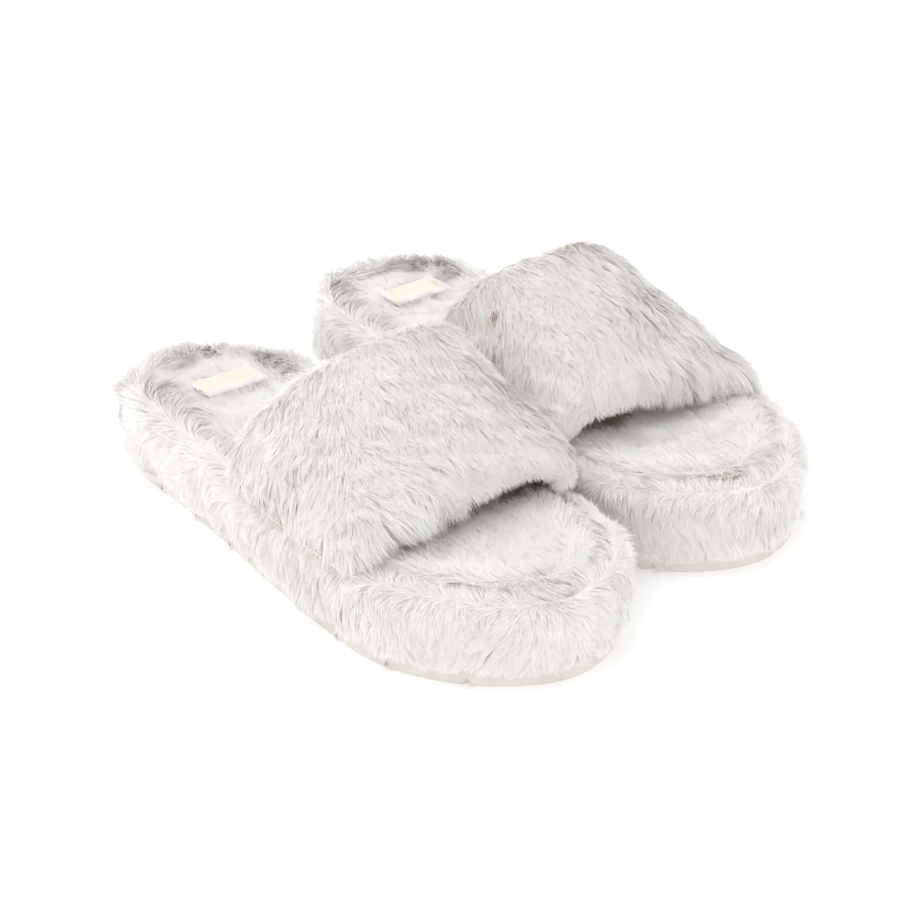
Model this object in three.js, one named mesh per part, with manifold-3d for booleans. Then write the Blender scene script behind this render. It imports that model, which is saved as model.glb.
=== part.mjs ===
// A pair of open-toe, open-heel fluffy house slippers, in millimetres.
// +Z is up and the toes point to -Y. The wearer's right slipper stands on the -X side.
// One slipper is drawn in its own coordinates: X across, with the big toe side at +X, and
// Y along, with the heel at +Y. The left slipper is its mirror image.
import * as THREE from 'three';
import Module from 'manifold-3d';
import { mergeVertices } from 'three/addons/utils/BufferGeometryUtils.js';

const wasm = await Module();
wasm.setup();

// ---- overall sizes ---------------------------------------------------------------
const slipperLength = 262;      // heel to toe over the fur
const ballWidth = 108;          // widest place, over the fur
const waistWidth = 90;
const heelWidth = 80;
const pairGap = 3.16;           // between the two slippers' big toe sides
const pairStagger = 24;         // how far the left slipper stands behind the right one

// ---- outsole ---------------------------------------------------------------------
const outsoleThickness = 8;
const outsoleInset = 3.6;       // outsole's edge, inside the fur's outer edge
const outsoleChamfer = 1.2;
const grooveDepth = 3.6;
const grooveWidth = 4.2;        // at the ground
const groovePitch = 27;
const firstGroove = 23;         // heel end to the first groove

// ---- platform --------------------------------------------------------------------
const midsoleThickness = 15.4;
const midsoleBevel = 1;
const wrapPile = 9;             // the fur band's thickness beside the platform
const wrapLift = 4.6;           // height of the band's lower edge
const boardThickness = 1.6;
const rimThickness = 7.6;       // fur over the platform's upper edge
const rimRound = 5;
const rimBevel = 1.6;

// ---- footbed ---------------------------------------------------------------------
const foamThickness = 3.6;      // at its edge
const footbedPile = 5.6;
const footbedRound = 3;
const dishDepth = 3;            // how far the footbed sinks at its middle
const labelAcross = 26;
const labelAlong = 14;
const labelThickness = 0.8;
const labelStation = 44;        // heel end to the label's middle

// ---- strap -----------------------------------------------------------------------
const strapBack = 107;          // heel end to the strap's back edge, at the sole
const strapLength = 88;         // back edge to front edge, at the sole
const strapScoop = 34;          // how far the back edge comes forward at its top
const instepOpening = 44.4;     // footbed to lining at the strap's back edge
const toeOpening = 6.5;         // the same at its front edge
const strapCrown = 2;           // extra height halfway along
const strapLean = 12;           // how far the arch's top leans to the big toe side
const backBoxiness = 0.68;      // below 1 the arch has steep sides and a flatter top
const frontBoxiness = 0.76;
const strapMargin = 1.8;        // rim left free inside the strap's foot
const furPile = 7;
const paddingThickness = 3.2;
const liningThickness = 1.4;
const edgeTurn = 8;             // width of the fur turned in at the strap's edges
const edgeRound = 5.5;          // rounding of the strap's fur edges

// ---- thread ----------------------------------------------------------------------
const seamRadius = 0.8;         // thread along the strap's feet
const stitchRadius = 0.6;       // thread along the strap's turned edges
const sockSeamRadius = 0.5;     // thread round the footbed
const stitchInset = 3;          // stitching to the end of the turned fur

// ---- shared clearance and fineness -------------------------------------------------
const gap = 0.3;                // between pieces that rest on one another
const layerGap = 0.7;           // between the strap's curved layers
const fringeGap = 1.2;          // between the hanging fur and the outsole's edge
const outsoleSteps = 84;
const outlineSteps = 48;
const archSteps = 22;
const threadSides = 5;

// ---- sizes that follow from the ones above -------------------------------------------
const midsoleBottom = outsoleThickness + gap;
const midsoleTop = midsoleBottom + midsoleThickness;
const boardBottom = midsoleTop + gap;
const foamBottom = boardBottom + boardThickness + gap;
const foamTop = foamBottom + foamThickness;
const footbedTop = foamTop + gap + footbedPile;
const rimTop = foamBottom + rimThickness;
const wrapInside = wrapPile + gap;
const strapDepth = furPile + paddingThickness + liningThickness + 2 * layerGap;
const rimWidth = strapDepth + strapMargin;
const footbedInset = rimWidth + gap;
const strapFoot = rimTop + gap;
const backHeight = footbedTop - strapFoot + instepOpening + strapDepth;
const frontHeight = footbedTop - strapFoot + toeOpening + strapDepth;
const ballReach = 0.98;         // the big toe side's share of half the ball width
const pairSpacing = ballWidth * ballReach + pairGap;
const strapStops = [0.28, 0.5, 0.72].map((share) => share * strapLength);

// ---- footprint -----------------------------------------------------------------------

// The outline over the fur. Each point is [share of the length from the heel, across].
function footprintCurve() {
  const ball = ballWidth / 2;
  const waist = waistWidth / 2;
  const heel = heelWidth / 2;
  const bigToeSide = [
    [0, 0], [0.03, heel * 0.62], [0.1, heel * 0.93], [0.2, heel * 1.01],
    [0.36, waist * 0.95], [0.52, waist * 1.04], [0.66, ball * 0.96], [0.78, ball * ballReach],
    [0.88, ball * 0.87], [0.95, ball * 0.6], [0.99, ball * 0.26], [1, 0],
  ];
  const littleToeSide = [
    [0.985, -ball * 0.28], [0.94, -ball * 0.6], [0.87, -ball * 0.86], [0.78, -ball * 1.01],
    [0.66, -ball], [0.52, -ball * 0.92], [0.38, -waist * 0.99], [0.22, -heel],
    [0.1, -heel * 0.93], [0.03, -heel * 0.62],
  ];
  const points = [...bigToeSide, ...littleToeSide].map(
    ([share, across]) => new THREE.Vector3(across, slipperLength * (0.5 - share), 0));
  return new THREE.CatmullRomCurve3(points, true, 'centripetal');
}

// Evenly spaced points of the outline, each with its outward direction, which is on the
// curve's left hand because it runs clockwise seen from above.
function footprintPoints(steps) {
  const curve = footprintCurve();
  const points = [];
  for (let i = 0; i < steps; i += 1) {
    const at = curve.getPointAt(i / steps);
    const along = curve.getTangentAt(i / steps);
    points.push({ x: at.x, y: at.y, outX: -along.y, outY: along.x });
  }
  return points;
}

const footprint = footprintPoints(outlineSteps);
const fineFootprint = footprintPoints(outsoleSteps);

function insetPoint(p, inset, z) {
  return [p.x - p.outX * inset, p.y - p.outY * inset, z];
}

// Where the outline crosses a station (distance from the heel end). side is 1 or -1.
function edgeAt(station, side) {
  const y = slipperLength / 2 - station;
  let found = 0;
  fineFootprint.forEach((a, i) => {
    const b = fineFootprint[(i + 1) % fineFootprint.length];
    const crosses = (a.y - y) * (b.y - y) <= 0 && a.y !== b.y;
    if (!crosses) return;
    const x = a.x + ((b.x - a.x) * (y - a.y)) / (b.y - a.y);
    if (x * side > 0) found = x;
  });
  return found;
}

// ---- mesh helpers --------------------------------------------------------------------

// A closed body from vertices and triangles, turned so that its faces point outwards.
function solid(vertices, triangles) {
  const volume = triangles.reduce((sum, [a, b, c]) => {
    const [p, q, r] = [vertices[a], vertices[b], vertices[c]];
    return sum + p[0] * (q[1] * r[2] - q[2] * r[1])
      - p[1] * (q[0] * r[2] - q[2] * r[0]) + p[2] * (q[0] * r[1] - q[1] * r[0]);
  }, 0);
  const facing = volume > 0 ? triangles : triangles.map(([a, b, c]) => [a, c, b]);
  const geometry = new THREE.BufferGeometry();
  geometry.setAttribute('position', new THREE.Float32BufferAttribute(vertices.flat(), 3));
  geometry.setIndex(facing.flat());
  geometry.computeVertexNormals();
  return geometry;
}

// Triangles that join rings of equally many points, each ring to the next.
function skin(ringCount, pointCount, joinEnds) {
  const triangles = [];
  const last = joinEnds ? ringCount : ringCount - 1;
  for (let r = 0; r < last; r += 1) {
    const here = r * pointCount;
    const next = ((r + 1) % ringCount) * pointCount;
    for (let i = 0; i < pointCount; i += 1) {
      const j = (i + 1) % pointCount;
      triangles.push([here + i, here + j, next + j], [here + i, next + j, next + i]);
    }
  }
  return triangles;
}

// Triangles that close a ring whose points lie at x, y, numbered from start. They run
// the way the ring runs, or the other way when turned.
function lid(outline, start, turned) {
  const flat = outline.map(([x, y]) => new THREE.Vector2(x, y));
  const ringSign = Math.sign(THREE.ShapeUtils.area(flat));
  return THREE.ShapeUtils.triangulateShape(flat, []).map(([a, b, c]) => {
    const sign = Math.sign(THREE.ShapeUtils.area([flat[a], flat[b], flat[c]]));
    const keep = (sign === ringSign) !== turned;
    return keep ? [start + a, start + b, start + c] : [start + a, start + c, start + b];
  });
}

// Rings that sink from an outline towards a dish in its middle, outermost first.
function dish(outline, z) {
  return [0.8, 0.55, 0.3].map((share) => outline.map(
    ([x, y]) => [x * share, y * (0.4 + 0.6 * share), z - dishDepth * (1 - share * share)]));
}

// A body of the footprint's shape from levels of [inset, height], lowest first. Its top
// and bottom are flat, or follow the footbed's dish.
function slab(levels, { points = footprint, dishedTop = false, dishedBottom = false } = {}) {
  const rings = levels.map(([inset, z]) => points.map((p) => insetPoint(p, inset, z)));
  const below = dishedBottom ? dish(rings[0], levels[0][1]).reverse() : [];
  const above = dishedTop ? dish(rings.at(-1), levels.at(-1)[1]) : [];
  const all = [...below, ...rings, ...above];
  const triangles = [
    ...lid(all[0], 0, true),
    ...skin(all.length, points.length, false),
    ...lid(all.at(-1), (all.length - 1) * points.length, false),
  ];
  return solid(all.flat(), triangles);
}

// A band right round the footprint, with a closed section of [inset, height] points.
function band(section) {
  const rings = footprint.map((p) => section.map(([inset, z]) => insetPoint(p, inset, z)));
  return solid(rings.flat(), skin(rings.length, section.length, true));
}

function circleSection(centreA, centreB, radius) {
  return Array.from({ length: threadSides }, (_, i) => {
    const angle = (i / threadSides) * Math.PI * 2;
    return [centreA + radius * Math.cos(angle), centreB + radius * Math.sin(angle)];
  });
}

// Only position is kept, and shared vertices are merged.
function welded(geometry) {
  const bare = geometry.clone();
  bare.deleteAttribute('normal');
  bare.deleteAttribute('uv');
  return mergeVertices(bare, 1e-4);
}

// A round thread along a curve.
function thread(path, radius, steps) {
  const section = circleSection(0, 0, radius);
  const shape = new THREE.Shape(section.map(([x, y]) => new THREE.Vector2(x, y)));
  return welded(new THREE.ExtrudeGeometry(shape, { steps, extrudePath: path }));
}

function toManifold(geometry) {
  const mesh = welded(geometry);
  return new wasm.Manifold(new wasm.Mesh({
    numProp: 3,
    vertProperties: new Float32Array(mesh.attributes.position.array),
    triVerts: new Uint32Array(mesh.index.array),
  }));
}

function fromManifold(body) {
  const mesh = body.getMesh();
  const geometry = new THREE.BufferGeometry();
  geometry.setAttribute('position', new THREE.Float32BufferAttribute(mesh.vertProperties, 3));
  geometry.setIndex(new THREE.Uint32BufferAttribute(mesh.triVerts, 1));
  geometry.computeVertexNormals();
  return geometry;
}

// ---- strap shape ---------------------------------------------------------------------

// A point of the strap, depth inside its outer fur. along runs 0 to 1 from the back edge
// to the front edge. turn runs 0 to PI, from the big toe side over the top to the other
// side. Every depth stands on the rim at its feet, and is an arch of its own.
function strapPoint(along, turn, depth) {
  const rise = Math.sin(turn);
  const across = Math.cos(turn);
  const footStation = strapBack + strapLength * along;
  const station = footStation + strapScoop * rise * (1 - along);
  const bigToeEdge = edgeAt(footStation, 1);
  const littleToeEdge = edgeAt(footStation, -1);
  const middle = (bigToeEdge + littleToeEdge) / 2;
  const half = (bigToeEdge - littleToeEdge) / 2;
  const arch = THREE.MathUtils.lerp(backHeight, frontHeight, along)
    + strapCrown * Math.sin(Math.PI * THREE.MathUtils.clamp(along, 0, 1));
  return new THREE.Vector3(
    middle + (half - depth) * across + strapLean * rise,
    slipperLength / 2 - station,
    strapFoot + (arch - depth) * rise ** THREE.MathUtils.lerp(backBoxiness, frontBoxiness, along),
  );
}

// A layer of the strap: a closed section of [distance from the back edge, depth] points
// carried over the arch from one foot to the other, or from skip steps above each foot.
function strapLayer(section, skip = 0) {
  const rings = Array.from({ length: archSteps + 1 - 2 * skip }, (_, i) => {
    const turn = (Math.PI * (i + skip)) / archSteps;
    return section.map(
      ([distance, depth]) => strapPoint(distance / strapLength, turn, depth).toArray());
  });
  const triangles = [
    ...lid(section, 0, true),
    ...skin(rings.length, section.length, false),
    ...lid(section, (rings.length - 1) * section.length, false),
  ];
  return solid(rings.flat(), triangles);
}

// The section of a plain layer between two depths, kept clear of the turned fur edges.
function plainLayer(outerDepth, innerDepth) {
  const stops = [edgeTurn + layerGap, ...strapStops, strapLength - edgeTurn - layerGap];
  return [
    ...stops.map((s) => [s, outerDepth]),
    ...[...stops].reverse().map((s) => [s, innerDepth]),
  ];
}

// ---- pieces --------------------------------------------------------------------------

// A flat tread cut across by V grooves, so that it stands on a row of lugs.
function outsole() {
  const blank = slab([
    [outsoleInset + outsoleChamfer, 0],
    [outsoleInset, outsoleChamfer],
    [outsoleInset, outsoleThickness],
  ], { points: fineFootprint });
  const reach = ballWidth;
  const below = 1;              // the cutter starts this far under the tread
  const half = (grooveWidth / 2) * ((grooveDepth + below) / grooveDepth);
  const vee = new THREE.Shape([
    new THREE.Vector2(-half, -below), new THREE.Vector2(half, -below),
    new THREE.Vector2(0, grooveDepth),
  ]);
  let body = toManifold(blank);
  for (let station = firstGroove; station < slipperLength - grooveWidth; station += groovePitch) {
    const cutter = new THREE.ExtrudeGeometry(vee, { depth: 2 * reach, bevelEnabled: false });
    cutter.rotateX(Math.PI / 2);
    cutter.rotateZ(Math.PI / 2);
    cutter.translate(-reach, slipperLength / 2 - station, 0);
    body = body.subtract(toManifold(cutter));
  }
  return fromManifold(body);
}

function midsole() {
  return slab([
    [wrapInside + midsoleBevel, midsoleBottom],
    [wrapInside, midsoleBottom + midsoleBevel],
    [wrapInside, midsoleTop],
  ]);
}

// Fur round the platform: it hangs over the outsole's edge, covers the side and turns in
// over the platform's upper edge as the rim.
function soleWrap() {
  const hem = outsoleInset - fringeGap;      // inner face of the edge that hangs
  const hemRound = 4;
  const hemSlope = 0.2;                      // the side draws in this much at the hem
  const fullest = (wrapLift + rimTop) / 2;   // height where the side stands out furthest
  return band([
    [hem / 2, wrapLift],
    [hemSlope, wrapLift + hemRound],
    [0, fullest],
    [rimRound * 0.16, rimTop - rimRound],
    [rimRound * 0.48, rimTop - rimRound / 3],
    [rimRound, rimTop],
    [rimWidth - rimBevel, rimTop],
    [rimWidth, rimTop - rimBevel],
    [rimWidth, foamBottom],
    [wrapPile, foamBottom],
    [wrapPile, midsoleBottom],
    [hem, midsoleBottom],
    [hem, wrapLift + fringeGap],
  ]);
}

function insoleBoard() {
  return slab([[wrapInside, boardBottom], [wrapInside, boardBottom + boardThickness]]);
}

function footbedFoam() {
  return slab([[footbedInset, foamBottom], [footbedInset, foamTop]], { dishedTop: true });
}

function footbedFur() {
  const bottom = foamTop + gap;
  const edge = [[0, 0], [0.1, 0.3], [0.35, 0.75], [1, 1]];   // shares of the rounding and pile
  return slab(
    edge.map(([across, up]) => [footbedInset + footbedRound * across, bottom + footbedPile * up]),
    { dishedTop: true, dishedBottom: true },
  );
}

// The thread in the crease between the rim and the footbed.
function footbedSeam() {
  const sink = sockSeamRadius / 2;
  return band(circleSection(rimWidth - sink, rimTop - sink, sockSeamRadius));
}

// A small woven label that lies on the footbed at the heel.
function heelLabel(footbedGeometry) {
  const surface = new THREE.Mesh(footbedGeometry);
  const ray = new THREE.Raycaster();
  const down = new THREE.Vector3(0, 0, -1);
  const rows = 4;
  const columns = 6;
  const middleY = slipperLength / 2 - labelStation;
  const vertices = [];
  for (let layer = 0; layer < 2; layer += 1) {
    for (let j = 0; j <= rows; j += 1) {
      for (let i = 0; i <= columns; i += 1) {
        const x = (i / columns - 0.5) * labelAcross;
        const y = middleY + (j / rows - 0.5) * labelAlong;
        ray.set(new THREE.Vector3(x, y, rimTop + backHeight), down);
        const rest = ray.intersectObject(surface)[0].point.z + gap;
        vertices.push([x, y, rest + layer * labelThickness]);
      }
    }
  }
  const at = (layer, i, j) => (layer * (rows + 1) + j) * (columns + 1) + i;
  const triangles = [];
  const face = (a, b, c, d) => triangles.push([a, b, c], [a, c, d]);
  for (let j = 0; j < rows; j += 1) {
    for (let i = 0; i < columns; i += 1) {
      face(at(1, i, j), at(1, i + 1, j), at(1, i + 1, j + 1), at(1, i, j + 1));
      face(at(0, i, j), at(0, i, j + 1), at(0, i + 1, j + 1), at(0, i + 1, j));
    }
    face(at(0, 0, j), at(1, 0, j), at(1, 0, j + 1), at(0, 0, j + 1));
    face(at(0, columns, j), at(0, columns, j + 1), at(1, columns, j + 1), at(1, columns, j));
  }
  for (let i = 0; i < columns; i += 1) {
    face(at(0, i, 0), at(0, i + 1, 0), at(1, i + 1, 0), at(1, i, 0));
    face(at(0, i, rows), at(1, i, rows), at(1, i + 1, rows), at(0, i + 1, rows));
  }
  return solid(vertices, triangles);
}

// The strap's fur wraps round both edges and is turned in over the lining.
function strapFur() {
  const end = strapLength;
  const soft = 1.6;             // rounding of the turned-in edge
  return strapLayer([
    [0, edgeRound], [edgeRound * 0.3, edgeRound * 0.3], [edgeRound, 0],
    ...strapStops.map((s) => [s, 0]),
    [end - edgeRound, 0], [end - edgeRound * 0.3, edgeRound * 0.3], [end, edgeRound],
    [end, strapDepth - soft], [end - soft, strapDepth],
    [end - edgeTurn, strapDepth], [end - edgeTurn, furPile],
    ...[...strapStops].reverse().map((s) => [s, furPile]),
    [edgeTurn, furPile], [edgeTurn, strapDepth],
    [soft, strapDepth], [0, strapDepth - soft],
  ]);
}

function strapPadding() {
  return strapLayer(plainLayer(furPile + layerGap, furPile + layerGap + paddingThickness));
}

function strapLining() {
  return strapLayer(plainLayer(strapDepth - liningThickness, strapDepth));
}

// Thread along one foot of the strap, in the groove over the rim's shoulder.
function strapSeam(side) {
  const inset = 1.1;            // from the fur's outer edge
  const steps = 8;
  const points = [0.06, 0.25, 0.5, 0.75, 0.94].map((share) => {
    const station = strapBack + strapLength * share;
    return new THREE.Vector3(
      edgeAt(station, side) - side * inset,
      slipperLength / 2 - station,
      rimTop - seamRadius,
    );
  });
  return thread(new THREE.CatmullRomCurve3(points), seamRadius, steps);
}

// Thread that holds the turned fur edge, on the inside of the arch.
function edgeStitching(distance) {
  const depth = strapDepth + gap + stitchRadius;
  return strapLayer(circleSection(distance, depth, stitchRadius), 2);
}

// ---- materials -----------------------------------------------------------------------

function plain(color, roughness) {
  return new THREE.MeshStandardMaterial({ color, roughness, metalness: 0 });
}

const materials = {
  fur: () => plain(0xf1eee6, 0.9),
  rubber: () => plain(0xe4e2da, 0.6),
  foam: () => plain(0xf0ead9, 0.85),
  board: () => plain(0xc9a877, 0.8),
  lining: () => plain(0x9a6e4b, 0.85),
  thread: () => plain(0xe9e2d2, 0.7),
  label: () => plain(0xe6e2cf, 0.6),
};

// ---- assembly ------------------------------------------------------------------------

function slipper(side) {
  const group = new THREE.Group();
  const add = (name, geometry, finish) => {
    const mesh = new THREE.Mesh(geometry, materials[finish]());
    mesh.name = `${side}_${name}`;
    group.add(mesh);
  };
  const footbed = footbedFur();
  add('outsole', outsole(), 'rubber');
  add('midsole', midsole(), 'foam');
  add('sole_wrap_fur', soleWrap(), 'fur');
  add('insole_board', insoleBoard(), 'board');
  add('footbed_foam', footbedFoam(), 'foam');
  add('footbed_fur', footbed, 'fur');
  add('footbed_seam', footbedSeam(), 'thread');
  add('heel_label', heelLabel(footbed), 'label');
  add('strap_fur', strapFur(), 'fur');
  add('strap_padding', strapPadding(), 'foam');
  add('strap_lining', strapLining(), 'lining');
  add('strap_seam_medial', strapSeam(1), 'thread');
  add('strap_seam_lateral', strapSeam(-1), 'thread');
  add('strap_back_stitching', edgeStitching(edgeTurn - stitchInset), 'thread');
  add('strap_front_stitching', edgeStitching(strapLength - edgeTurn + stitchInset), 'thread');
  return group;
}

const right = slipper('right');
right.position.set(-pairSpacing / 2, -pairStagger / 2, 0);

const left = slipper('left');
left.position.set(pairSpacing / 2, pairStagger / 2, 0);
left.scale.x = -1;

const pair = new THREE.Group();
pair.add(right, left);

export default pair;
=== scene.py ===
"""A pair of fluffy open-toe slippers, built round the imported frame.

Each fur piece is a padded pelt, puffed by a cloth simulation inside its CAD solid, with
strands of real mesh rooted on it. Lengths are in metres, and MM turns millimetres into them.
"""

import math

import bpy
import numpy as np
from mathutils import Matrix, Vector
from mathutils.kdtree import KDTree


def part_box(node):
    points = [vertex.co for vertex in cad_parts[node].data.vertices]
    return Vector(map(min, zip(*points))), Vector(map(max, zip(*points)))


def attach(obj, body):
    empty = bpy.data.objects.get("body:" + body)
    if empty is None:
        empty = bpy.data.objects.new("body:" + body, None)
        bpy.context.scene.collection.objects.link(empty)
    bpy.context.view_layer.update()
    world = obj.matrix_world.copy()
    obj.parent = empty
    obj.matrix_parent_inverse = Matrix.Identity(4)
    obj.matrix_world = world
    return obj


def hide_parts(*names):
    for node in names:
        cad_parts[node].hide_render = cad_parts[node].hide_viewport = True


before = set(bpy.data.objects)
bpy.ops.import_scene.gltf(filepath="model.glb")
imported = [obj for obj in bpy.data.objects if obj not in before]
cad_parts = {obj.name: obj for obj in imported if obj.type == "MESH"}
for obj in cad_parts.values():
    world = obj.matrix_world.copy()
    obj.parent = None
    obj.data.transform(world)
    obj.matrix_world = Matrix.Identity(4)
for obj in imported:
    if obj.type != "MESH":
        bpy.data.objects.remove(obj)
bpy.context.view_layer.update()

MM = 0.001
SIDES = {"right": 1, "left": -1}      # the sign of X towards the big toe
scene = bpy.context.scene


# ---- camera ------------------------------------------------------------------------

EYE = Vector((-0.7746, -0.9998, 0.6500))
AIM = Vector((-0.0077, -0.0118, 0.0207))
LENS = 144.1
SENSOR = 36.0


def add_camera():
    data = bpy.data.cameras.new("camera")
    data.lens = LENS
    data.sensor_width = SENSOR
    data.clip_start = 0.05
    data.clip_end = 30
    camera = bpy.data.objects.new("camera", data)
    camera.location = EYE
    camera.rotation_euler = (AIM - EYE).to_track_quat("-Z", "Y").to_euler()
    scene.collection.objects.link(camera)
    scene.camera = camera


# ---- stage and light ---------------------------------------------------------------

def add_stage():
    bpy.ops.mesh.primitive_plane_add(size=40)
    floor = bpy.context.object
    floor.name = "floor"
    paint = bpy.data.materials.new("studio_floor")
    paint.use_nodes = True
    shader = paint.node_tree.nodes["Principled BSDF"]
    shader.inputs["Base Color"].default_value = (0.94, 0.94, 0.94, 1)
    shader.inputs["Roughness"].default_value = 1
    shader.inputs["Specular IOR Level"].default_value = 0
    shader.inputs["Emission Color"].default_value = (1, 1, 1, 1)
    shader.inputs["Emission Strength"].default_value = 0.2
    floor.data.materials.append(paint)


def add_softbox(name, place, aim, size, power):
    data = bpy.data.lights.new(name, "AREA")
    data.shape = "DISK"
    data.size = size
    data.energy = power
    box = bpy.data.objects.new(name, data)
    box.location = place
    box.rotation_euler = (Vector(aim) - Vector(place)).to_track_quat("-Z", "Y").to_euler()
    scene.collection.objects.link(box)


def add_light():
    world = bpy.data.worlds.new("studio")
    scene.world = world
    world.use_nodes = True
    world.node_tree.nodes["Background"].inputs["Color"].default_value = (1, 1, 1, 1)
    world.node_tree.nodes["Background"].inputs["Strength"].default_value = 1.07
    add_softbox("key", (-0.9, 0.7, 1.6), (0, 0, 0.03), 1.1, 7)
    scene.cycles.diffuse_bounces = 8
    scene.view_settings.view_transform = "Standard"
    scene.view_settings.look = "None"


# ---- material helpers --------------------------------------------------------------

def new_material(name, roughness, specular=0.3, sheen=0.0):
    """A material with one Principled shader, and that shader."""
    material = bpy.data.materials.new(name)
    material.use_nodes = True
    shader = material.node_tree.nodes["Principled BSDF"]
    shader.inputs["Roughness"].default_value = roughness
    shader.inputs["Specular IOR Level"].default_value = specular
    shader.inputs["Sheen Weight"].default_value = sheen
    return material, shader


def add_node(material, kind, **values):
    """A node with its inputs or properties set by name."""
    node = material.node_tree.nodes.new(kind)
    for key, value in values.items():
        name = key.replace("_", " ")
        if name in node.inputs:
            node.inputs[name].default_value = value
        else:
            setattr(node, key, value)
    return node


def link(material, output, target):
    material.node_tree.links.new(output, target)


def ramp(material, factor, stops):
    """A colour ramp over factor, with stops of (position, colour)."""
    node = add_node(material, "ShaderNodeValToRGB")
    elements = node.color_ramp.elements
    while len(elements) < len(stops):
        elements.new(0.5)
    for element, (position, colour) in zip(elements, stops):
        element.position = position
        element.color = (*colour, 1)
    link(material, factor, node.inputs["Fac"])
    return node.outputs["Color"]


def noise(material, scale, detail=3.0, roughness=0.5):
    """Noise over the piece's own coordinates, with scale in features per metre."""
    place = add_node(material, "ShaderNodeTexCoord")
    node = add_node(material, "ShaderNodeTexNoise", Scale=scale, Detail=detail, Roughness=roughness)
    link(material, place.outputs["Object"], node.inputs["Vector"])
    return node.outputs["Fac"]


def bump(material, shader, height, distance):
    node = add_node(material, "ShaderNodeBump", Strength=1.0, Distance=distance)
    link(material, height, node.inputs["Height"])
    link(material, node.outputs["Normal"], shader.inputs["Normal"])


# ---- materials ---------------------------------------------------------------------

UV_NAME = "OFBake"
TONES = 32                   # columns of the fur's colour map


def strand_material():
    """Fur colour over the strand map: across, each column is a tone; up, root to tip."""
    material, shader = new_material("faux_fur", 0.8, specular=0.2, sheen=0.25)
    shader.inputs["Sheen Roughness"].default_value = 0.5
    uv = add_node(material, "ShaderNodeUVMap", uv_map=UV_NAME)
    parts = add_node(material, "ShaderNodeSeparateXYZ")
    link(material, uv.outputs["UV"], parts.inputs[0])
    along = ramp(material, parts.outputs["Y"], [
        (0.0, (0.945, 0.918, 0.89)),
        (0.35, (0.958, 0.942, 0.922)),
        (0.75, (0.965, 0.958, 0.945)),
        (1.0, (0.97, 0.965, 0.955)),
    ])
    # The ramp's brown low end is a painted shade. It is given to strands under the strap, at the
    # lip's hidden roots and on the strap's big-toe side.
    tone = ramp(material, parts.outputs["X"], [
        (0.0, (0.36, 0.23, 0.15)),
        (0.14, (0.965, 0.945, 0.925)),
        (0.4, (0.99, 0.985, 0.978)),
        (1.0, (1.0, 1.0, 1.0)),
    ])
    mix = add_node(material, "ShaderNodeMix", data_type="RGBA", blend_type="MULTIPLY")
    mix.inputs[0].default_value = 1
    link(material, along, mix.inputs[6])
    link(material, tone, mix.inputs[7])
    link(material, mix.outputs[2], shader.inputs["Base Color"])
    return material


def pelt_material():
    """The knitted backing between the strands' roots."""
    material, shader = new_material("fur_backing", 0.95, specular=0.1)
    colour = ramp(material, noise(material, 180, 4), [
        (0.3, (0.93, 0.90, 0.865)),
        (0.7, (0.955, 0.94, 0.915)),
    ])
    link(material, colour, shader.inputs["Base Color"])
    bump(material, shader, noise(material, 900, 2), 0.6 * MM)
    return material


def cloth_material(name, dark, light, threads, depth):
    """A plain weave: threads per metre each way, bumped over and under."""
    material, shader = new_material(name, 0.9, specular=0.15, sheen=0.2)
    place = add_node(material, "ShaderNodeTexCoord")
    waves = []
    for direction in ("X", "Y"):
        wave = add_node(material, "ShaderNodeTexWave", bands_direction=direction,
                        Scale=threads / 6.283)
        wave.inputs["Distortion"].default_value = 0.6
        link(material, place.outputs["Object"], wave.inputs["Vector"])
        waves.append(wave.outputs["Fac"])
    weave = add_node(material, "ShaderNodeMath", operation="MULTIPLY")
    link(material, waves[0], weave.inputs[0])
    link(material, waves[1], weave.inputs[1])
    blend = add_node(material, "ShaderNodeMath", operation="MULTIPLY_ADD")
    link(material, noise(material, 60, 4), blend.inputs[0])
    blend.inputs[1].default_value = 0.7
    link(material, weave.outputs[0], blend.inputs[2])
    colour = ramp(material, blend.outputs[0], [(0.2, dark), (1.0, light)])
    link(material, colour, shader.inputs["Base Color"])
    bump(material, shader, weave.outputs[0], depth)
    return material


def foam_material(name, dark, light, cell):
    """Open foam: speckled by its cells, each about cell across."""
    material, shader = new_material(name, 0.95, specular=0.15)
    place = add_node(material, "ShaderNodeTexCoord")
    cells = add_node(material, "ShaderNodeTexVoronoi", Scale=1 / cell)
    link(material, place.outputs["Object"], cells.inputs["Vector"])
    colour = ramp(material, cells.outputs["Distance"], [(0.0, dark), (0.5, light)])
    link(material, colour, shader.inputs["Base Color"])
    bump(material, shader, cells.outputs["Distance"], cell / 3)
    return material


def board_material():
    """Pressed fibres, mottled brown."""
    material, shader = new_material("fibreboard", 0.85, specular=0.2)
    colour = ramp(material, noise(material, 700, 6, 0.7), [
        (0.3, (0.42, 0.27, 0.13)),
        (0.55, (0.60, 0.42, 0.24)),
        (0.8, (0.70, 0.54, 0.35)),
    ])
    link(material, colour, shader.inputs["Base Color"])
    bump(material, shader, noise(material, 1500, 3), 0.15 * MM)
    return material


def rubber_material():
    """Moulded rubber: fine grain, and slightly greyer where it scuffs."""
    material, shader = new_material("moulded_rubber", 0.6, specular=0.35)
    colour = ramp(material, noise(material, 45, 5, 0.6), [
        (0.3, (0.70, 0.67, 0.62)),
        (0.7, (0.79, 0.765, 0.72)),
    ])
    link(material, colour, shader.inputs["Base Color"])
    rough = add_node(material, "ShaderNodeMapRange")
    rough.inputs["To Min"].default_value = 0.5
    rough.inputs["To Max"].default_value = 0.75
    link(material, noise(material, 120, 4), rough.inputs["Value"])
    link(material, rough.outputs[0], shader.inputs["Roughness"])
    bump(material, shader, noise(material, 2600, 2), 0.12 * MM)
    return material


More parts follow.
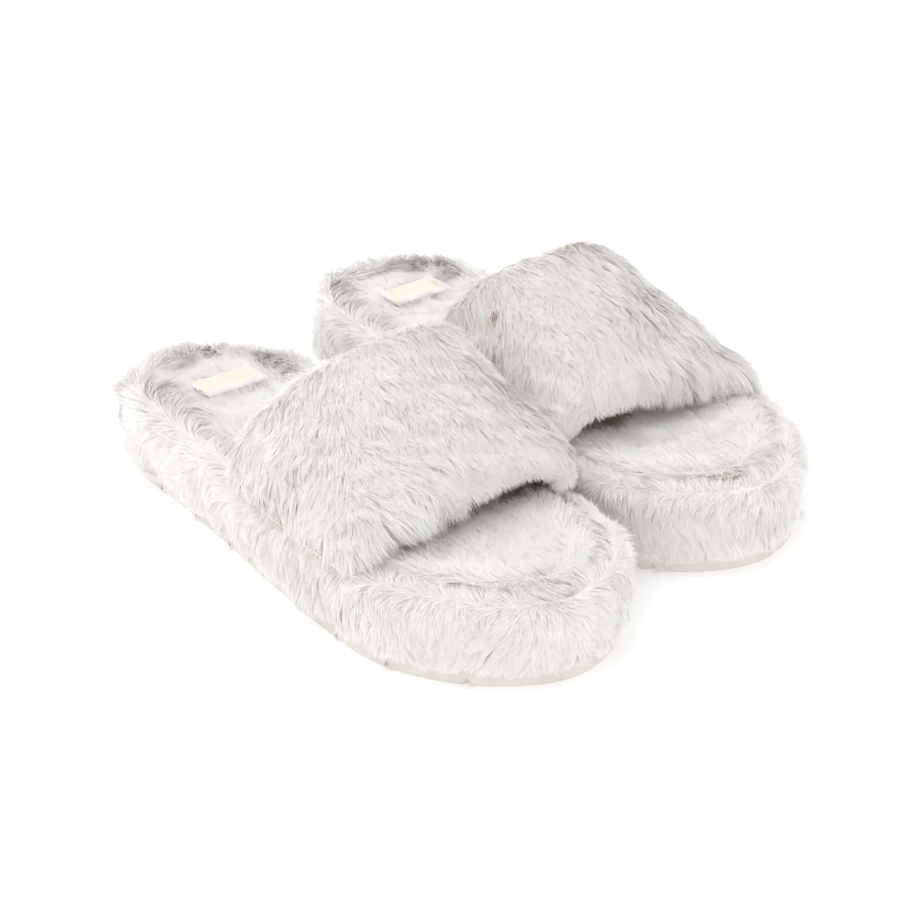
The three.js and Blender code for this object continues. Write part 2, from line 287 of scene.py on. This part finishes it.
def thread_material():
    """Twisted sewing thread, seen as slanted bands."""
    material, shader = new_material("twisted_thread", 0.7, specular=0.25, sheen=0.2)
    place = add_node(material, "ShaderNodeTexCoord")
    wave = add_node(material, "ShaderNodeTexWave", bands_direction="DIAGONAL", Scale=260)
    link(material, place.outputs["Object"], wave.inputs["Vector"])
    colour = ramp(material, wave.outputs["Fac"], [
        (0.0, (0.62, 0.55, 0.45)),
        (1.0, (0.84, 0.79, 0.70)),
    ])
    link(material, colour, shader.inputs["Base Color"])
    bump(material, shader, wave.outputs["Fac"], 0.2 * MM)
    return material


def label_material():
    """A plain woven tab, with nothing on it."""
    return cloth_material("woven_label", (0.84, 0.77, 0.64), (0.95, 0.92, 0.85), 2200, 0.15 * MM)


# ---- mesh helpers ------------------------------------------------------------------

PRESSURE = 4.0                           # of the cloth simulation
FRAMES = 20
CLEARANCE = 0.4 * MM                     # between a pelt's hidden faces and its CAD solid


def numbers(items, name, width, kind=np.float32):
    found = np.empty(len(items) * width, kind)
    items.foreach_get(name, found)
    return found.reshape(-1, width) if width > 1 else found


def unit(vectors):
    return vectors / np.maximum(np.linalg.norm(vectors, axis=1, keepdims=True), 1e-9)


def dot(a, b):
    return (a * b).sum(1, keepdims=True)


def add_object(name, mesh):
    obj = bpy.data.objects.new(name, mesh)
    scene.collection.objects.link(obj)
    return obj


def modifier_applied(obj):
    """Puts what the modifiers make of obj in place of its mesh."""
    graph = bpy.context.evaluated_depsgraph_get()
    mesh = bpy.data.meshes.new_from_object(obj.evaluated_get(graph))
    obj.modifiers.clear()
    old, obj.data = obj.data, mesh
    bpy.data.meshes.remove(old)


def remeshed_copy(name, node, voxel):
    """A copy of a CAD node with small even faces."""
    obj = add_object(name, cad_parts[node].data.copy())
    obj.data.materials.clear()
    remesh = obj.modifiers.new("remesh", "REMESH")
    remesh.mode = "VOXEL"
    remesh.voxel_size = voxel
    modifier_applied(obj)
    smooth = obj.modifiers.new("smooth", "SMOOTH")
    smooth.factor = 0.5
    smooth.iterations = 2
    modifier_applied(obj)
    return obj


def vertex_places(obj):
    return numbers(obj.data.vertices, "co", 3)


def vertex_normals(obj):
    return numbers(obj.data.vertices, "normal", 3)


def place_vertices(obj, places):
    obj.data.vertices.foreach_set("co", places.astype(np.float32).ravel())
    obj.data.update()


def puff(obj, weights, reach):
    """Swells obj by a cloth simulation. A vertex moves at most reach times its weight."""
    start = vertex_places(obj)
    held = obj.vertex_groups.new(name="held")
    for index in np.flatnonzero(weights < 0.05):
        held.add([int(index)], 1.0, "REPLACE")
    cloth = obj.modifiers.new("puff", "CLOTH")
    cloth.settings.vertex_group_mass = held.name
    cloth.settings.quality = 4
    cloth.settings.mass = 0.15
    cloth.settings.use_pressure = True
    cloth.settings.uniform_pressure_force = PRESSURE
    cloth.settings.effector_weights.gravity = 0
    cloth.collision_settings.use_collision = False
    cloth.point_cache.frame_start = 1
    cloth.point_cache.frame_end = FRAMES
    for step in range(1, FRAMES + 1):
        scene.frame_set(step)
    graph = bpy.context.evaluated_depsgraph_get()
    swollen = numbers(obj.evaluated_get(graph).data.vertices, "co", 3)
    obj.modifiers.clear()
    obj.vertex_groups.clear()
    scene.frame_set(1)
    move = swollen - start
    length = np.linalg.norm(move, axis=1, keepdims=True)
    most = reach * weights[:, None]
    place_vertices(obj, start + move * np.minimum(1, most / np.maximum(length, 1e-9)))


def ruffle(obj, weights, rng):
    """Low tufts all over the open faces, as the pile parts and bunches."""
    places = vertex_places(obj)
    height = 0.5 * MM * waves(rng, 30 * MM)(places) + 0.45 * MM * waves(rng, 11 * MM)(places)
    place_vertices(obj, places + vertex_normals(obj) * (height * weights)[:, None])


# ---- fur ---------------------------------------------------------------------------

STOPS = (0.0, 0.5, 1.0)                  # where along a strand its ribbon bends
WIDTHS = (1.0, 0.8)                      # the ribbon's width there, before the tip
MOST_STRANDS = 64000                     # in one piece
EVENNESS = 0.95                          # how far a ribbon is shaded like the pelt under it
UNDERFUR = 0.45                          # share of strands that are short and hardly clump
STRAYS = 0.03                            # share that stand out of their clump
DENSITY = 6.8e6                          # strands per square metre
WIDTH = 0.24 * MM
TURN = 2 * math.pi


def waves(rng, size, count=7):
    """A smooth random field with features of about size: a function of points, about -1 to 1."""
    ways = unit(rng.normal(size=(count, 3))) * (TURN / size)
    ways *= rng.uniform(0.6, 1.4, (count, 1))
    phases = rng.uniform(0, TURN, count)
    return lambda points: np.sin(points @ ways.T + phases).sum(1) / math.sqrt(count)


class Roots:
    """Points scattered evenly over the parts of a surface that carry fur."""

    def __init__(self, rng, obj, weights, density):
        mesh = obj.data
        mesh.calc_loop_triangles()
        corners = numbers(mesh.loop_triangles, "vertices", 3, np.int32)
        places, normals = vertex_places(obj), vertex_normals(obj)
        a, b, c = (places[corners[:, i]] for i in range(3))
        area = np.linalg.norm(np.cross(b - a, c - a), axis=1) / 2
        share = area * weights[corners].mean(1)
        self.density = density
        self.count = int(share.sum() * density)
        picked = rng.choice(len(corners), self.count, p=share / share.sum())
        u, v = rng.uniform(size=(2, self.count, 1))
        flip = u + v > 1
        u, v = np.where(flip, 1 - u, u), np.where(flip, 1 - v, v)
        mix = lambda values: (values[corners[picked, 0]] * (1 - u - v)
                              + values[corners[picked, 1]] * u + values[corners[picked, 2]] * v)
        self.place = mix(places)
        self.normal = unit(mix(normals))


def nearest(points, centres):
    """For each point, the index of its nearest centre."""
    tree = KDTree(len(centres))
    for index, centre in enumerate(centres):
        tree.insert(centre, index)
    tree.balance()
    return np.array([tree.find(point)[1] for point in points])


def turned(direction, normal, angle):
    """direction, turned about normal by angle."""
    angle = angle[:, None]
    return direction * np.cos(angle) + np.cross(normal, direction) * np.sin(angle)


def grow(rng, roots, comb, length, rise, lay, swirl, clumps):
    """Three control points for each strand: its root, its bend and its tip.

    comb gives the way the fur lies, and swirl how far it wanders from that, in radians.
    rise and lay are how far a strand reaches off the surface and along it, as shares of its
    length. clumps lists (spacing, pull) pairs, the larger clumps first.
    """
    root, normal = roots.place, roots.normal
    lying = comb - normal * dot(comb, normal)
    lying = unit(lying)
    wander = swirl * waves(rng, 38 * MM)(root) + 0.5 * swirl * waves(rng, 14 * MM)(root)
    wander += rng.normal(0, 0.12, roots.count)
    tone = 0.25 * waves(rng, 30 * MM)(root) + rng.normal(0, 0.22, roots.count)
    size = length * rng.uniform(0.82, 1.12, roots.count)
    lift = rise * rng.uniform(0.8, 1.2, roots.count)
    kind = rng.uniform(size=roots.count)
    under, stray = kind < UNDERFUR, kind > 1 - STRAYS
    size[under] *= rng.uniform(0.55, 0.85, under.sum())
    lift[stray] *= 1.5
    wander[stray] += rng.normal(0, 0.5, stray.sum())
    hold = np.where(under, 0.3, np.where(stray, 0.1, 1.0))[:, None]
    members = []
    for spacing, pull in clumps:
        number = int(roots.count / (roots.density * spacing ** 2)) + 1
        guides = rng.choice(roots.count, number, replace=False)
        mine = nearest(root, root[guides])
        wander += rng.normal(0, 0.16, number)[mine]
        lift *= rng.uniform(0.92, 1.1, number)[mine]
        tone += rng.normal(0, 0.2, number)[mine]
        members.append((guides[mine], pull))
    lying = turned(lying, normal, wander)
    size, lift = size[:, None], lift[:, None]
    bend = root + normal * size * lift * 0.62 + lying * size * lay * 0.22
    tip = root + normal * size * lift + lying * size * lay
    for guide, pull in members:
        offset = root - root[guide]
        tip = tip + hold * pull * (tip[guide] + 0.4 * offset - tip)
        bend = bend + 0.45 * hold * pull * (bend[guide] + 0.85 * offset - bend)
    return root, bend, tip, normal, tone


def strand_mesh(name, rng, root, bend, tip, normal, tone, tidy):
    """Tapered ribbons along the strands. tidy moves points that may not lie where they do."""
    count = len(root)
    rows, facings = [], []
    roll = rng.normal(0, 0.3, (count, 1))
    wide = WIDTH * rng.uniform(0.75, 1.2, (count, 1)) / 2
    for index, t in enumerate(STOPS):
        point = (1 - t) ** 2 * root + 2 * t * (1 - t) * bend + t * t * tip
        along = unit(2 * (1 - t) * (bend - root) + 2 * t * (tip - bend))
        across = unit(np.cross(along, normal))
        across = across * np.cos(roll) + np.cross(along, across) * np.sin(roll)
        point = tidy(point, t)
        facing = unit(np.cross(across, along) * (1 - EVENNESS) + normal * EVENNESS)
        if index < len(WIDTHS):
            rows += [point - across * wide * WIDTHS[index], point + across * wide * WIDTHS[index]]
            facings += [facing, facing]
        else:
            rows.append(point)
            facings.append(facing)
    per = len(rows)
    places = np.stack(rows, 1).reshape(-1, 3)
    pattern = np.array([0, 1, 3, 2, 2, 3, 4], np.int32)
    starts = np.array([0, 4], np.int32)
    mesh = bpy.data.meshes.new(name)
    mesh.vertices.add(len(places))
    mesh.vertices.foreach_set("co", places.astype(np.float32).ravel())
    first = np.arange(count, dtype=np.int32)[:, None]
    mesh.loops.add(count * len(pattern))
    mesh.loops.foreach_set("vertex_index", (first * per + pattern).ravel())
    mesh.polygons.add(count * len(starts))
    mesh.polygons.foreach_set("loop_start", (first * len(pattern) + starts).ravel())
    mesh.polygons.foreach_set("use_smooth", np.ones(count * len(starts), bool))
    column = np.clip((0.5 + 0.28 * tone) * TONES, 0, TONES - 1).astype(int)
    u = (column[:, None] + np.array([0.15, 0.85, 0.15, 0.85, 0.5])) / TONES
    v = np.repeat([STOPS[0] + 0.01, STOPS[1], STOPS[2] - 0.01], (2, 2, 1))
    uv = np.stack([u, np.broadcast_to(v, u.shape)], 2)[:, pattern]
    layer = mesh.uv_layers.new(name=UV_NAME)
    layer.uv.foreach_set("vector", uv.astype(np.float32).ravel())
    mesh.update(calc_edges=True)
    facings = np.stack(facings, 1).astype(np.float32)
    custom = mesh.attributes.new("custom_normal", "FLOAT_VECTOR", "POINT")
    custom.data.foreach_set("vector", facings.ravel())
    return mesh


def add_fur(name, rng, strands, tidy, body):
    """The strands as one piece or more, each within MOST_STRANDS."""
    count = len(strands[0])
    order = np.argsort(strands[0][:, 1], kind="stable")
    parts = np.array_split(order, math.ceil(count / MOST_STRANDS))
    for number, part in enumerate(parts, 1):
        mesh = strand_mesh(f"{name}_{number}", rng, *(s[part] for s in strands), tidy)
        mesh.materials.append(MATERIALS["strands"])
        piece = add_object(f"{name}_{number}", mesh)
        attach(piece, body)


# ---- one slipper -------------------------------------------------------------------

class Slipper:
    """Where one slipper's parts are, from the frame."""

    def __init__(self, side):
        self.side = side
        self.toward = SIDES[side]
        self.body = f"{side}_slipper"
        low, high = (np.array(corner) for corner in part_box(f"{side}_sole_wrap_fur"))
        self.bottom = low[2]
        self.middle = (low + high) / 2
        self.half = (high - low) / 2
        self.rim_top = high[2]

        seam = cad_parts[f"{side}_footbed_seam"].data
        ring = [seam.vertices[a].co.lerp(seam.vertices[b].co, share)
                for a, b in seam.edge_keys for share in (0, 0.2, 0.4, 0.6, 0.8)]
        self.seam = KDTree(len(ring))
        for index, point in enumerate(ring):
            self.seam.insert((point.x, point.y, 0), index)
        self.seam.balance()

    def near_seam(self, points, reach):
        """1 at the crease between rim and footbed, falling to 0 at reach from it."""
        gaps = np.array([self.seam.find((x, y, 0))[2] for x, y in points[:, :2]])
        return 1 - smooth_step(0.3 * reach, reach, gaps)

    def node(self, name):
        return f"{self.side}_{name}"

    def across(self, points):
        """Distance from the middle towards the big toe."""
        return (points[:, 0] - self.middle[0]) * self.toward

    def away(self, points):
        """The level direction from the slipper's middle line to each point."""
        run = self.half[1] - self.half[0]
        line = points.copy()
        line[:, 0] = self.middle[0]
        line[:, 1] = np.clip(points[:, 1], self.middle[1] - run, self.middle[1] + run)
        out = points - line
        out[:, 2] = 0
        return unit(out)


def smooth_step(low, high, values):
    share = np.clip((values - low) / (high - low), 0, 1)
    return share * share * (3 - 2 * share)


def add_pelt(slipper, node, voxel, weights_of, inset, reach):
    """The padded body under the fur: a CAD node drawn in by inset where it is open to the air.

    It is drawn in by CLEARANCE elsewhere, so that it stays clear of its neighbours.
    """
    name = slipper.node(node)
    obj = remeshed_copy(name.replace("_fur", "_pelt"), name, voxel)
    weights = weights_of(vertex_places(obj), vertex_normals(obj))
    drawn_in = CLEARANCE + (inset - CLEARANCE) * weights
    place_vertices(obj, vertex_places(obj) - vertex_normals(obj) * drawn_in[:, None])
    puff(obj, weights, reach)
    ruffle(obj, weights, np.random.default_rng(len(name)))
    smooth = obj.modifiers.new("round", "SUBSURF")
    smooth.levels = smooth.render_levels = 1
    modifier_applied(obj)
    for polygon in obj.data.polygons:
        polygon.use_smooth = True
    obj.data.materials.append(MATERIALS["pelt"])
    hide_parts(name)
    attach(obj, slipper.body)
    return obj


def add_strap(slipper, rng):
    """The strap's fur: combed to the toes, hanging at the lip, longer at the outer side."""
    low, high = (np.array(corner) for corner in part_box(slipper.node("strap_fur")))
    axis = np.array([(low[0] + high[0]) / 2, 0, low[2]])

    def outward(points, normals):
        out = points - axis
        out[:, 1] = 0
        return dot(normals, unit(out))[:, 0]

    def weights_of(points, normals):
        open_face = smooth_step(-0.1, 0.35, outward(points, normals))
        ahead = (normals[:, 1] < 0) & (points[:, 1] < low[1] + 12 * MM)
        behind = (normals[:, 1] > 0) & (points[:, 1] > low[1] + 20 * MM)
        edge = smooth_step(0.45, 0.8, np.abs(normals[:, 1])) * (ahead | behind)
        above_foot = smooth_step(-0.9, -0.6, normals[:, 2])
        return np.maximum(open_face, edge) * above_foot

    pelt = add_pelt(slipper, "strap_fur", 2.6 * MM, weights_of, 0.8 * MM, 1.4 * MM)
    points, normals = vertex_places(pelt), vertex_normals(pelt)
    roots = Roots(rng, pelt, weights_of(points, normals), DENSITY)
    away = slipper.away(roots.place)
    front = smooth_step(0.3, 0.8, -roots.normal[:, 1])
    side = smooth_step(0.2, 0.9, np.abs(roots.normal[:, 0]))[:, None]
    back = smooth_step(0.1, 0.7, roots.normal[:, 1])
    comb = np.zeros((roots.count, 3))
    comb[:, 1] = -1 + 0.9 * front + 1.7 * back
    comb[:, 2] = -0.25 - 1.2 * front - 0.8 * back
    comb += side * (0.5 * away + np.array([0, 0.3, -0.5]))
    length = 8.5 * MM + 3 * MM * back
    lateral = smooth_step(-0.02, 0.025, -slipper.across(roots.place))
    length += front * (-3.5 * MM + 12 * MM * lateral)
    rise = 0.27 * (1 - 0.2 * front)
    strands = grow(rng, roots, comb, length, rise, 0.85, 0.3, [(12 * MM, 0.1), (4 * MM, 0.12)])
    # A painted shade on the strap's side towards the big toe, in patches: it lowers those strands'
    # tone towards the ramp's brown end.
    shade = side[:, 0] * smooth_step(0, 0.03, slipper.across(roots.place))
    strands[4][:] -= shade * np.clip(0.5 + 0.4 * waves(rng, 12 * MM)(roots.place), 0, 0.9)
    # The tone of the lip's hidden roots is a painted shade, and so is the footbed's.
    lip = (roots.normal[:, 1] < 0.2) & (roots.place[:, 1] < low[1] + 10 * MM)
    strands[4][:] -= 1.7 * smooth_step(0.15, 0.7, -roots.normal[:, 2]) * lip
    inside = slipper.half[0] * 0.72

    def tidy(point, t):
        level = np.abs(slipper.across(point)) < inside
        floor = np.where(level, slipper.rim_top + 2.5 * MM, slipper.rim_top - 4 * MM)
        point[:, 2] = np.maximum(point[:, 2], floor)
        return point

    add_fur(slipper.node("strap_strands"), rng, strands, tidy, slipper.body)


def add_wrap(slipper, rng):
    """The fur round the platform: down the side, over the seam at the top, fuller at the heel."""
    def weights_of(points, normals):
        side = smooth_step(0.0, 0.4, dot(normals, slipper.away(points))[:, 0])
        top = smooth_step(0.3, 0.8, normals[:, 2])
        top *= smooth_step(-14 * MM, -9 * MM, points[:, 2] - slipper.rim_top)
        return np.maximum(side, top)

    pelt = add_pelt(slipper, "sole_wrap_fur", 2.8 * MM, weights_of, 2.2 * MM, 1.0 * MM)
    points, normals = vertex_places(pelt), vertex_normals(pelt)
    roots = Roots(rng, pelt, weights_of(points, normals), DENSITY)
    away = slipper.away(roots.place)
    top = smooth_step(0.3, 0.9, roots.normal[:, 2])[:, None]
    inwards = slipper.near_seam(roots.place, 10 * MM)[:, None]
    towards_heel = (roots.place[:, 1] - slipper.middle[1]) / slipper.half[1]
    heel = top[:, 0] * smooth_step(0.35, 0.75, towards_heel)
    comb = away * top * (0.8 - 2.6 * inwards) + np.array([0, 0.25, 0])
    comb += np.array([0, 0, -1.0]) * (1 - 0.7 * top)
    length = 9 * MM + 2 * MM * inwards[:, 0] + 3.5 * MM * heel
    hem = slipper.bottom + 0.4 * MM
    rise = 0.27 + 0.13 * inwards[:, 0] + 0.24 * heel
    rise *= smooth_step(-4 * MM, 10 * MM, roots.place[:, 2] - hem)
    strands = grow(rng, roots, comb, length, rise, 0.82, 0.45, [(11 * MM, 0.14), (4 * MM, 0.14)])

    def tidy(point, t):
        point[:, 2] = np.maximum(point[:, 2], hem)
        return point

    add_fur(slipper.node("wrap_strands"), rng, strands, tidy, slipper.body)


def add_footbed(slipper, rng):
    """The fur underfoot: combed to the heel, over the label's edges, with a painted shade under the
    strap.
    """
    low, high = (np.array(corner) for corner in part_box(slipper.node("heel_label")))

    def weights_of(points, normals):
        return smooth_step(0.2, 0.6, normals[:, 2])

    def inside_label(points):
        """How far each point is within the label's outline, seen from above."""
        return np.min(np.minimum(points - low, high - points)[:, :2], axis=1)

    pelt = add_pelt(slipper, "footbed_fur", 2.6 * MM, weights_of, 2.0 * MM, 0.8 * MM)
    points, normals = vertex_places(pelt), vertex_normals(pelt)
    roots = Roots(rng, pelt, weights_of(points, normals) * (inside_label(points) < 0), DENSITY)
    front, back = (corner[1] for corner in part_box(slipper.node("strap_fur")))
    # A painted shade under the strap: it pulls these strands' tone to the brown end of the fur's
    # colour ramp.
    shade = smooth_step(-3 * MM, 7 * MM, roots.place[:, 1] - front)
    shade *= smooth_step(4 * MM, 22 * MM, back - roots.place[:, 1])
    outwards = slipper.near_seam(roots.place, 9 * MM)[:, None]
    comb = np.array([0.0, 1.0, 0.1]) + 1.6 * slipper.away(roots.place) * outwards
    length = 7.5 * MM + 2.5 * MM * outwards[:, 0]
    rise = 0.27 + 0.14 * outwards[:, 0]
    strands = grow(rng, roots, comb, length, rise, 0.82, 0.35, [(12 * MM, 0.1), (4 * MM, 0.12)])
    strands[4][:] -= 1.9 * shade

    def tidy(point, t):
        over = inside_label(point) > -1 * MM
        point[over, 2] = np.maximum(point[over, 2], high[2] + (0.8 * t - 0.6) * MM)
        return point

    add_fur(slipper.node("footbed_strands"), rng, strands, tidy, slipper.body)


def dress(node, material):
    """Gives a carried-over CAD node its material."""
    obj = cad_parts[node]
    for index in range(len(obj.material_slots)):
        obj.material_slots[index].link = "OBJECT"
        obj.material_slots[index].material = MATERIALS[material]


def add_slipper(side, seed):
    slipper = Slipper(side)
    rng = np.random.default_rng(seed)
    add_wrap(slipper, rng)
    add_footbed(slipper, rng)
    add_strap(slipper, rng)
    finishes = {
        "outsole": "rubber", "midsole": "sole_foam", "insole_board": "board",
        "footbed_foam": "soft_foam", "strap_padding": "soft_foam", "strap_lining": "lining",
        "footbed_seam": "thread", "strap_seam_medial": "thread", "strap_seam_lateral": "thread",
        "strap_back_stitching": "thread", "strap_front_stitching": "thread",
        "heel_label": "label",
    }
    for node, material in finishes.items():
        dress(slipper.node(node), material)


# ---- build -------------------------------------------------------------------------

add_camera()
add_stage()
add_light()
MATERIALS = {
    "strands": strand_material(),
    "pelt": pelt_material(),
    "rubber": rubber_material(),
    "sole_foam": foam_material(
        "platform_foam", (0.70, 0.66, 0.58), (0.84, 0.81, 0.74), 0.8 * MM),
    "soft_foam": foam_material("soft_foam", (0.78, 0.73, 0.62), (0.90, 0.87, 0.79), 0.5 * MM),
    "board": board_material(),
    "lining": cloth_material(
        "lining_weave", (0.095, 0.047, 0.022), (0.15, 0.078, 0.038), 1400, 0.1 * MM),
    "thread": thread_material(),
    "label": label_material(),
}
for number, side in enumerate(SIDES):
    add_slipper(side, 100 + number)
